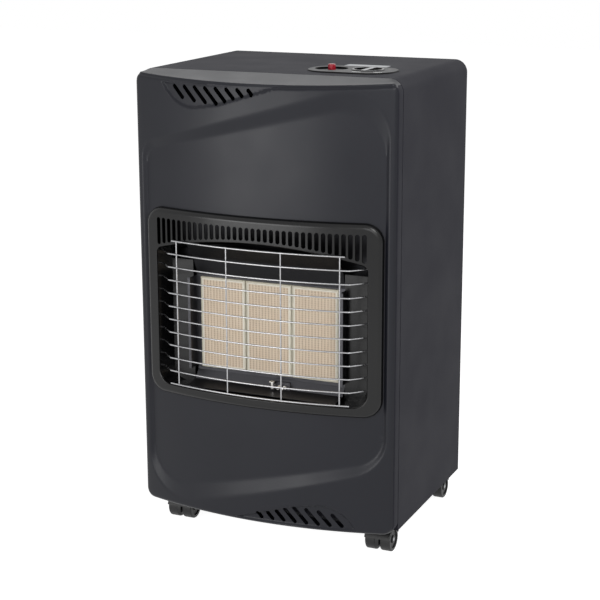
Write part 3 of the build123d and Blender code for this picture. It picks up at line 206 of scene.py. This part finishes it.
finishes = {
    # powder coat: an even, nearly matt charcoal with a fine orange peel
    "cabinet_paint": coating("charcoal_powder_coat", "26262d", 0.70, 1.2, 0.03, 0.14),
    # stoved enamel: deeper black with soft highlights on its edges
    "surround_enamel": coating("stoved_black_enamel", "070708", 0.24, 1.8, 0.012, 0.34),
    # nickel-chrome plated spring wire: bright, with narrow highlights along the wire
    "guard_chrome": bare_metal("plated_guard_wire", "aaaaac", 0.24, 4.0, 0.01),
    # aluminised steel sheet: dull grey with upright rolling marks
    "bright_steel": bare_metal("aluminised_steel", "4a4a4d", 0.40, 1.5, 0.02, ROLLED_UPRIGHT),
    "ceramic": perforated_ceramic(),
    # ceramic fibre strip: off-white and matt, with a felted surface
    "gasket_fibre": coating("ceramic_fibre_strip", "dcd6c4", 0.95, 0.7, 0.2, 0.1),
    # turned brass: warm yellow, with a streaky highlight from the tool
    "brass": bare_metal("machined_brass", "b5985a", 0.30, 0.8, 0.01, (1, 1, 0.1)),
    # drawn copper tube: reddish, with a clean highlight along the tube
    "copper_tube": bare_metal("drawn_copper", "a8683f", 0.30, 2.0, 0.02),
    # spark-textured ABS: matt, with a fine even grain
    "black_plastic": coating("spark_textured_abs", "1c1c1f", 0.50, 0.7, 0.04, 0.36),
    # polished ABS: smooth, with a soft clear highlight
    "knob_plastic": coating("polished_black_abs", "0e0e10", 0.24, 3.0, 0.01, 0.5),
    # self-adhesive aluminium foil: pale and silky, brushed along the plate's length
    "silver_print": bare_metal("satin_aluminium_foil", "9a9c9f", 0.42, 1.2, 0.01, BRUSHED_ACROSS),
    # screen print: flat white with a thin, slightly shiny film
    "white_print": coating("white_screen_print", "eeeeee", 0.40, 1.0, 0.01, 0.4),
    # self-coloured red ABS: smooth with a little depth
    "red_plastic": coating("red_abs", "b3182c", 0.28, 2.0, 0.01, 0.5),
    # silicone sleeve: warm pale grey, soft and slightly tacky to look at
    "lead_sleeve": coating("silicone_sleeve", "c9c5bd", 0.60, 0.6, 0.1, 0.4),
    # bright zinc plate: grey with a blurred highlight
    "screw_zinc": bare_metal("zinc_plate", "9a9c9f", 0.35, 2.0, 0.02),
    # moulded nylon: matt black with a faint grain
    "castor_plastic": coating("moulded_nylon", "161617", 0.50, 1.2, 0.04, 0.4),
    # glazed porcelain: white, with a small sharp highlight
    "porcelain": coating("glazed_porcelain", "ece8df", 0.12, 3.0, 0.01, 0.5),
}
# the pressed front is smoother: the same charcoal with a soft satin highlight
panel_paint = coating("charcoal_satin_coat", "1a1b22", 0.38, 1.5, 0.01, 0.26)
# painted shade: the hood and heat shield, seen behind the louvre slots and above the flames, get a darker
# steel that stands for the shade back there
shade_behind_slots = bare_metal("painted_shade_steel", "2c2c2e", 0.46, 1.5, 0.02, ROLLED_UPRIGHT)
# the pilot's jet and its sensing tip are plated, so they glint white rather than yellow
pilot_plate = bare_metal("nickel_plate", "d6d4ce", 0.26, 2.0, 0.01)
own_finish = {"reflector_hood": shade_behind_slots, "heat_shield": shade_behind_slots,
              "pilot_burner": pilot_plate, "thermocouple": pilot_plate}
for part in frame["record"]["subparts"]:
    mesh = nodes[part["node"]].data
    mesh.materials.clear()
    mesh.materials.append(own_finish.get(part["node"], finishes[part["material_slot"]]))

# the bezel's face is textured; its sloping rim faces are painted near black as a painted shadow, the dark
# outline where the rim falls away to the top sheet
UPWARD = 0.9                    # a face whose normal rises more than this belongs to the bezel's top
bezel = nodes["control_bezel"].data
bezel.materials.append(coating("painted_shadow_rim", "050506", 0.55, 2.0, 0.01, 0.15))
for face in bezel.polygons:
    face.material_index = int(face.normal.z < UPWARD)


# ---- front panel: the pressed sheet, with the soft bends that a press leaves -----------------------
SHEET_EDGE = 0.0012             # depth shown of the sheet's cut edge in the slots
EDGE_ROUND = 0.0055             # outside radius from the face into the side flanges
MIDDLE_HEIGHT = (CREASE + SKIRT) / 2    # the panel's two vents are half a turn apart about this height

# the sunken field: depth, half width and run of its side walls; then for its lower and upper edge the
# height at the middle, the slope and the left and right corner radius, first where the wall leaves the
# face and then where it meets the field's floor
FIELD_DEPTH, FIELD_HALF, FIELD_WALL = 0.006, 0.1995, 0.006
FIELD_FOOT = ((0.0966, 0.2787, 0.066, 0.064), (0.1182, 0.2365, 0.054, 0.048))
FIELD_HEAD = ((0.6766, 0.2813, 0.027, 0.064), (0.6556, 0.236, 0.025, 0.062))
FIELD_BEND = 0.35               # share of a wall's run that each of its bends takes up
LEVELS = (-0.6, 1.6)            # range in which a point's level between the two outlines is looked for,
LEVEL_STEPS = 13                # halved so many times

# the crescent vents: lowest point, right end, depth below the crease, radius of the left part, and
# the knee in its right part as a share of the run and a rise
VENT_LOW, VENT_END, VENT_DROP, VENT_RADIUS = -0.100, 0.044, 0.041, 0.062
VENT_BAND = 0.003               # plain metal between the crease and the vent
KNEE_SHARE, KNEE_RISE = 0.3, 0.0066
VENT_DEPTH, VENT_WALL, VENT_BEND = 0.003, 0.0025, 0.6   # depth, run of the wall, share of it in a bend

# their slots: half width, pitch, place of the first, crease to upper ends, sideways run per fall
SLOT_HALF, SLOT_PITCH, SLOT_FIRST, SLOT_HEAD, SLOT_LEAN = 0.0031, 0.0181, -0.1343, 0.0099, 0.9
SLOT_FALLS = (0.0158, 0.0192, 0.0206, 0.0216, 0.0175, 0.0128, 0.0086, 0.0062)

GROOVE_DEPTH, GROOVE_WIDTH = 0.0028, 0.0022     # shallow groove under the crease
SEAM_GAP = 0.0016               # dark gap between the panel and the wrapper
FLANGE_STEPS = (0.33, 0.66, 1.0)    # rows of points across the flange, as shares of its depth
# the flange's edge goes on into the gap by a share of it, and turns in by a share towards a point
HEM_DEPTH, HEM_TURN, HEM_MIDDLE = 0.4, 0.01, (0, 0, 0.39)
WINDOW_MARGIN = 0.008           # the surround laps over the panel's window by this
SURROUND_CORNER = 0.028

# spacing of the mesh
COARSE, FINE = 0.006, 0.002     # grid on plain metal and grid on pressed walls
OUTLINE_STEP, VENT_STEP, SLOT_STEP, WINDOW_STEP = 0.0025, 0.0018, 0.0012, 0.004
WALL_ZONE = 0.4                 # the fine grid goes this far past the field's wall, in runs of the wall
VENT_ZONE, CREASE_ZONE = 0.006, 0.012   # and this far from the vents' outlines and from the crease
LOOP_CLEAR, HOLE_CLEAR = 0.0008, 0.0006     # loose points keep off the rolled edge and the holes
WELD = 1e-7                     # points closer than this are one


def arc(x, z, radius, start, end, count):
    """Points along an arc, from one angle in degrees to the other."""
    angles = np.radians(np.linspace(start, end, count))
    return [(x + radius * cos(a), z + radius * sin(a)) for a in angles]


def spread(points, step):
    """Evenly spaced points round a closed line."""
    line = np.array(list(points) + [points[0]])
    along = np.concatenate([[0], np.cumsum(np.hypot(*np.diff(line, axis=0).T))])
    at = np.linspace(0, along[-1], max(6, round(along[-1] / step)), endpoint=False)
    return np.stack([np.interp(at, along, line[:, i]) for i in (0, 1)], 1)


def panel_outline():
    """The line, seen from the front, at which the face turns back."""
    half = arc(HALF - FOOT_CORNER, SKIRT + FOOT_CORNER, FOOT_CORNER, -90, 0, 24)
    half += [p for p in arc(HALF - TOP_BEND, TOP - TOP_BEND, TOP_BEND, 0, 90, 90) if p[1] < crease(p[0])]
    half += [(x, float(crease(x))) for x in np.linspace(half[-1][0] - MM, 0, 80)]
    return spread(half + [(-x, z) for x, z in half[::-1][1:]], OUTLINE_STEP)


def rolled_rings(outline):
    """The outline and seven lines inside it that follow the rolled edge onto the face."""
    ahead = np.roll(outline, -1, axis=0) - np.roll(outline, 1, axis=0)
    ahead /= np.hypot(*ahead.T)[:, None]
    inward = np.stack([-ahead[:, 1], ahead[:, 0]], 1)
    return [outline + inward * EDGE_ROUND * (1 - sin(t)) for t in np.radians(np.linspace(90, 0, 8))]


def field_edge(x, level, side, pair):
    """Upper or lower edge of the sunken field at a level between its outer and inner outline."""
    height, slope, *radii = [a + (b - a) * level for a, b in zip(*pair)]
    half = FIELD_HALF - FIELD_WALL * level
    lean = np.sqrt(1 + slope ** 2)
    found = height + slope * x
    for radius, way in zip(radii, (-1, 1)):
        middle = way * (half - radius)
        curve = np.sqrt(np.maximum(radius ** 2 - (x - middle) ** 2, 0)) - radius * lean
        turned = way * (x - middle + side * radius * slope / lean) > 0
        found = np.where(turned, height + slope * middle + side * curve, found)
    return found


def field_level(x, z):
    """Level of each point among the field's nested outlines, 0 on the outer one and 1 on the inner one."""
    low, high = (np.full(x.shape, end) for end in LEVELS)
    for _ in range(LEVEL_STEPS):
        level = (low + high) / 2
        inner = ((np.abs(x) < FIELD_HALF - FIELD_WALL * level) & (z > field_edge(x, level, -1, FIELD_FOOT))
                 & (z < field_edge(x, level, 1, FIELD_HEAD)))
        low, high = np.where(inner, level, low), np.where(inner, high, level)
    return (low + high) / 2


def ramp_up(value, width):
    """0 below 0, 1 above 1 and straight between, both bends rounded over width."""
    def bend(v):
        return np.where(v < -width / 2, 0, np.where(v > width / 2, v, (v + width / 2) ** 2 / (2 * width)))
    return bend(value) - bend(value - 1)


def inside_by(points, loop, limit):
    """Distance from each point to a closed line, positive inside it and never more than limit."""
    order = np.argsort(points[:, 1])
    x, z = points[order].T
    best = np.full(len(points), limit)
    crossings = np.zeros(len(points), int)
    for (x0, z0), (x1, z1) in zip(loop, np.roll(loop, -1, axis=0)):
        low, high = np.searchsorted(z, (min(z0, z1) - limit, max(z0, z1) + limit))
        near = slice(low, high)
        run_x, run_z = x1 - x0, z1 - z0
        t = np.clip(((x[near] - x0) * run_x + (z[near] - z0) * run_z) / (run_x ** 2 + run_z ** 2), 0, 1)
        best[near] = np.minimum(best[near], np.hypot(x[near] - x0 - t * run_x, z[near] - z0 - t * run_z))
        if z0 != z1:
            low, high = np.searchsorted(z, (min(z0, z1), max(z0, z1)))
            across = slice(low, high)
            crossings[across] += x[across] < x0 + run_x * (z[across] - z0) / run_z
    signed = np.empty(len(points))
    signed[order] = np.where(crossings % 2 == 1, best, -best)
    return signed


def half_turn(loop):
    """The same line turned half round the middle of the panel."""
    return np.stack([-loop[:, 0], 2 * MIDDLE_HEIGHT - loop[:, 1]], 1)


def vent_loop():
    """Outline of the upper crescent vent, hanging just below the crease."""
    low, head = CREASE - VENT_DROP, CREASE - VENT_BAND
    left = [(VENT_LOW + VENT_RADIUS * sin(a), low + VENT_RADIUS * (1 - cos(a)))
            for a in np.linspace(-1.2, 0, 50)]
    left = [p for p in left if p[1] < head]
    knee = (VENT_LOW + KNEE_SHARE * (VENT_END - VENT_LOW), low + KNEE_RISE)
    return spread(left + [knee, (VENT_END, head)], VENT_STEP)


def vent_slot_loops():
    """Outlines of the upper vent's slanted slots."""
    loops = []
    for index, fall in enumerate(SLOT_FALLS):
        x0, z0 = SLOT_FIRST + SLOT_PITCH * index, CREASE - SLOT_HEAD
        x1, z1 = x0 + SLOT_LEAN * fall, z0 - fall
        turn = degrees(atan2(z1 - z0, x1 - x0))
        foot = arc(x1, z1, SLOT_HALF, turn - 90, turn + 90, 9)
        head = arc(x0, z0, SLOT_HALF, turn + 90, turn + 270, 9)
        loops.append(spread(foot + head, SLOT_STEP))
    return loops


def window_loop():
    """Outline of the window behind the surround, which laps over its edge."""
    (_, _, foot), (half, _, head) = corners("burner_surround")
    low, high, half = foot + WINDOW_MARGIN, head - WINDOW_MARGIN, half - WINDOW_MARGIN
    radius = SURROUND_CORNER - WINDOW_MARGIN
    points = []
    for x, z, start in ((half - radius, low + radius, -90), (half - radius, high - radius, 0),
                        (radius - half, high - radius, 90), (radius - half, low + radius, 180)):
        points += arc(x, z, radius, start, start + 90, 10)
    return spread(points, WINDOW_STEP)


def grid_points(step, offset=0.0):
    """A square grid over the whole panel."""
    x, z = np.meshgrid(np.arange(-HALF + offset, HALF, step),
                       np.arange(SKIRT + offset, CREASE + COARSE, step))
    return np.stack([x.ravel(), z.ravel()], 1)


def loose_points(innermost, vents, holes):
    """Loose points for the mesh: coarse ones everywhere and finer ones on the walls and round the vents."""
    coarse, fine = grid_points(COARSE), grid_points(FINE, MM)
    level = field_level(fine[:, 0], fine[:, 1])
    wanted = (level > -WALL_ZONE) & (level < 1 + WALL_ZONE)
    for vent in vents:
        wanted |= np.abs(inside_by(fine, vent, VENT_ZONE * 1.02)) < VENT_ZONE
    wanted |= np.abs(fine[:, 1] - crease(fine[:, 0])) < CREASE_ZONE
    loose = np.concatenate([coarse, fine[wanted]])
    loose = loose[inside_by(loose, innermost, 3 * MM) > LOOP_CLEAR]
    for hole in holes:
        loose = loose[inside_by(loose, hole, MM) < -HOLE_CLEAR]
    return loose


def triangulated(loops, loose):
    """Points and triangles over the loops and the loose points, and each loop as indices of points."""
    edges, spans, start = [], [], 0
    for loop in loops:
        edges += [(start + i, start + (i + 1) % len(loop)) for i in range(len(loop))]
        spans.append(range(start, start + len(loop)))
        start += len(loop)
    flat = [Vector(p) for p in np.concatenate(loops + [loose])]
    found, _, faces, origin, _, _ = delaunay_2d_cdt(flat, edges, [], 0, WELD)
    place = {old: new for new, olds in enumerate(origin) for old in olds}
    return np.array([tuple(v) for v in found]), np.array(faces), [[place[i] for i in span] for span in spans]


def panel_depth(flat, outline, vents):
    """y of the pressed skin: bow, field, vents, groove below the crease and rolled edge."""
    x, z = flat.T
    y = face_y(x) + FIELD_DEPTH * ramp_up(field_level(x, z), FIELD_BEND)
    for vent in vents:
        y += VENT_DEPTH * ramp_up(inside_by(flat, vent, 4 * MM) / VENT_WALL, VENT_BEND)
    below = crease(x) - z
    y += GROOVE_DEPTH * np.exp(-((below - EDGE_ROUND / 2) / GROOVE_WIDTH) ** 2)
    depth = np.clip(inside_by(flat, outline, 2 * EDGE_ROUND), 0, EDGE_ROUND)
    return y + EDGE_ROUND - np.sqrt(np.maximum(EDGE_ROUND ** 2 - (EDGE_ROUND - depth) ** 2, 0))


def flange_rows(front):
    """Rows of points from the rolled edge back to the seam, the last one turned in a little."""
    past_bend = np.maximum(np.abs(front[:, 0]) - HALF + TOP_BEND, 0)
    arch = TOP - TOP_BEND + np.sqrt(np.maximum(TOP_BEND ** 2 - past_bend ** 2, 0))
    on_top = front[:, 2] > crease(front[:, 0]) - 0.2 * MM
    height = np.where(on_top, arch, front[:, 2])
    back = np.stack([front[:, 0], np.full(len(front), SEAM - SEAM_GAP), height], 1)
    rows = [front + (back - front) * share for share in FLANGE_STEPS]
    hem = rows[-1] + [0, SEAM_GAP * HEM_DEPTH, 0]
    return rows + [hem + (HEM_MIDDLE - hem) * [HEM_TURN, 0, HEM_TURN]]


def strip(left, right):
    """Four-sided faces between two closed rows of points."""
    count = len(left)
    return [(left[(i + 1) % count], left[i], right[i], right[(i + 1) % count]) for i in range(count)]


def mesh_object(name, points, faces, sharp):
    """A smooth-shaded object whose edges over the sharp angle, in degrees, stay crisp."""
    mesh = bpy.data.meshes.new(name)
    mesh.from_pydata([tuple(p) for p in points], [], [tuple(f) for f in faces])
    mesh.validate()
    mesh.polygons.foreach_set("use_smooth", [True] * len(mesh.polygons))
    mesh.set_sharp_from_angle(angle=radians(sharp))
    piece = bpy.data.objects.new(name, mesh)
    bpy.context.scene.collection.objects.link(piece)
    return piece


def front_panel():
    """The bowed panel: its pressed skin, the flange behind its outline and the cut edges of its slots."""
    outline = panel_outline()
    rings = rolled_rings(outline)
    vents = [vent_loop()]
    vents.append(half_turn(vents[0]))
    holes = vent_slot_loops()
    holes += [half_turn(hole) for hole in holes]
    holes.append(window_loop())
    flat, faces, loops = triangulated(rings + holes, loose_points(rings[-1], vents, holes))
    middles = flat[faces].mean(1)
    keep = inside_by(middles, outline, MM) > 0
    for hole in holes:
        keep &= inside_by(middles, hole, MM) < 0
    faces = [tuple(f) for f in faces[keep]]
    points = list(np.stack([flat[:, 0], panel_depth(flat, outline, vents), flat[:, 1]], 1))

    def new_row(row):
        points.extend(row)
        return list(range(len(points) - len(row), len(points)))

    rim = loops[0]
    for row in flange_rows(np.array([points[i] for i in rim])):
        behind = new_row(row)
        faces += strip(rim, behind)
        rim = behind
    for edge in loops[len(rings):]:
        faces += strip(new_row([points[i] + [0, SHEET_EDGE, 0] for i in edge]), edge)
    panel = mesh_object("front_panel_pressed", points, faces, 35.0)
    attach(panel, "cabinet")
    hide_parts("front_panel")
    return panel


SIDEWAYS = 0.8                  # a face that looks more sideways than this belongs to a side flange
pressed = front_panel()
for paint in (panel_paint, finishes["cabinet_paint"]):
    pressed.data.materials.append(paint)
for face in pressed.data.polygons:
    # the side flanges have the wrapper's duller coat
    face.material_index = int(abs(face.normal.x) > SIDEWAYS)


# ---- camera ----------------------------------------------------------------------------------------
SENSOR, LENS = 36, 95.06        # mm
AZIMUTH, ELEVATION, ROLL = radians(23.742), radians(14.368), radians(-0.164)
DISTANCE = 2.3737
TARGET = Vector((0.04934, SEAM, 0.39302))   # the point of the seam's plane that the camera looks at

scene = bpy.context.scene
back = Vector((sin(AZIMUTH) * cos(ELEVATION), -cos(AZIMUTH) * cos(ELEVATION), sin(ELEVATION)))
camera = bpy.data.objects.new("camera", bpy.data.cameras.new("camera"))
camera.data.sensor_width = SENSOR
camera.data.lens = LENS
camera.location = TARGET + back * DISTANCE
camera.rotation_mode = "QUATERNION"
camera.rotation_quaternion = (-back).to_track_quat("-Z", "Y") @ Quaternion((0, 0, 1), ROLL)
scene.collection.objects.link(camera)
scene.camera = camera


# ---- floor, daylight and lamps ---------------------------------------------------------------------
FLOOR_HALF = 8.0
FLOOR_TONE = (0.65, 0.65, 0.65, 1)
FLOOR_GLOW = 0.94               # own light of the floor as the camera sees it; the object's shadow stays
WHITE = (1, 1, 1, 1)
DAYLIGHT = 0.14                 # even light of the room on the object
MID_FRONT = (0, 0, 0.45)        # what most lamps point at


def seen_white(tree):
    """1 for rays from the camera, a mirror or glass, 0 for the light that falls on the object."""
    path = add(tree, "ShaderNodeLightPath")
    total = path.outputs["Is Camera Ray"]
    for name in ("Is Glossy Ray", "Is Transmission Ray"):
        total = add(tree, "ShaderNodeMath", {0: total, 1: path.outputs[name]}, operation="MAXIMUM").outputs[0]
    return total


def pale_floor():
    """A plain pale floor that the camera sees as white but for the object's shadow."""
    mesh = bpy.data.meshes.new("floor")
    mesh.from_pydata([(x * FLOOR_HALF, y * FLOOR_HALF, 0) for x, y in ((-1, -1), (1, -1), (1, 1), (-1, 1))],
                     [], [(0, 1, 2, 3)])
    floor = bpy.data.objects.new("floor", mesh)
    scene.collection.objects.link(floor)
    pale, tree, shader, _ = begin("pale_floor", Roughness=0.9, Specular_IOR_Level=0.0, Base_Color=FLOOR_TONE,
                                  Emission_Color=WHITE)
    glow = add(tree, "ShaderNodeMath", {0: seen_white(tree), 1: FLOOR_GLOW}, operation="MULTIPLY")
    tree.links.new(glow.outputs[0], shader.inputs["Emission Strength"])
    mesh.materials.append(pale)


def soft_box(name, place, aim, size, power):
    """A rectangular lamp; size in metres and power in watts."""
    lamp = bpy.data.objects.new(name, bpy.data.lights.new(name, "AREA"))
    lamp.data.shape = "RECTANGLE"
    lamp.data.size, lamp.data.size_y = size
    lamp.data.energy = power
    lamp.location = place
    lamp.rotation_mode = "QUATERNION"
    lamp.rotation_quaternion = (Vector(aim) - Vector(place)).to_track_quat("-Z", "Y")
    scene.collection.objects.link(lamp)


pale_floor()
world = bpy.data.worlds.new("studio")
world.use_nodes = True
sky = world.node_tree
strength = add(sky, "ShaderNodeMapRange", {"Value": seen_white(sky), "To Min": DAYLIGHT, "To Max": 1.0})
sky.links.new(strength.outputs["Result"], sky.nodes["Background"].inputs["Strength"])
sky.nodes["Background"].inputs["Color"].default_value = WHITE
scene.world = world
soft_box("front_left_soft_box", (-0.76, -1.9, 0.5), MID_FRONT, (1.2, 0.7), 14)
soft_box("front_right_soft_box", (0.9, -1.9, 1.0), MID_FRONT, (1.0, 0.8), 7.7)
soft_box("right_soft_box", (0.95, -0.75, 1.3), (0.2, -0.1, 0.7), (0.4, 0.4), 5.0)
soft_box("rear_right_soft_box", (1.6, 1.8, 1.9), MID_FRONT, (1.2, 0.9), 16)
soft_box("rear_left_soft_box", (-0.86, 1.47, 1.95), MID_FRONT, (1.2, 0.5), 2.5)
scene.view_settings.view_transform = "Standard"
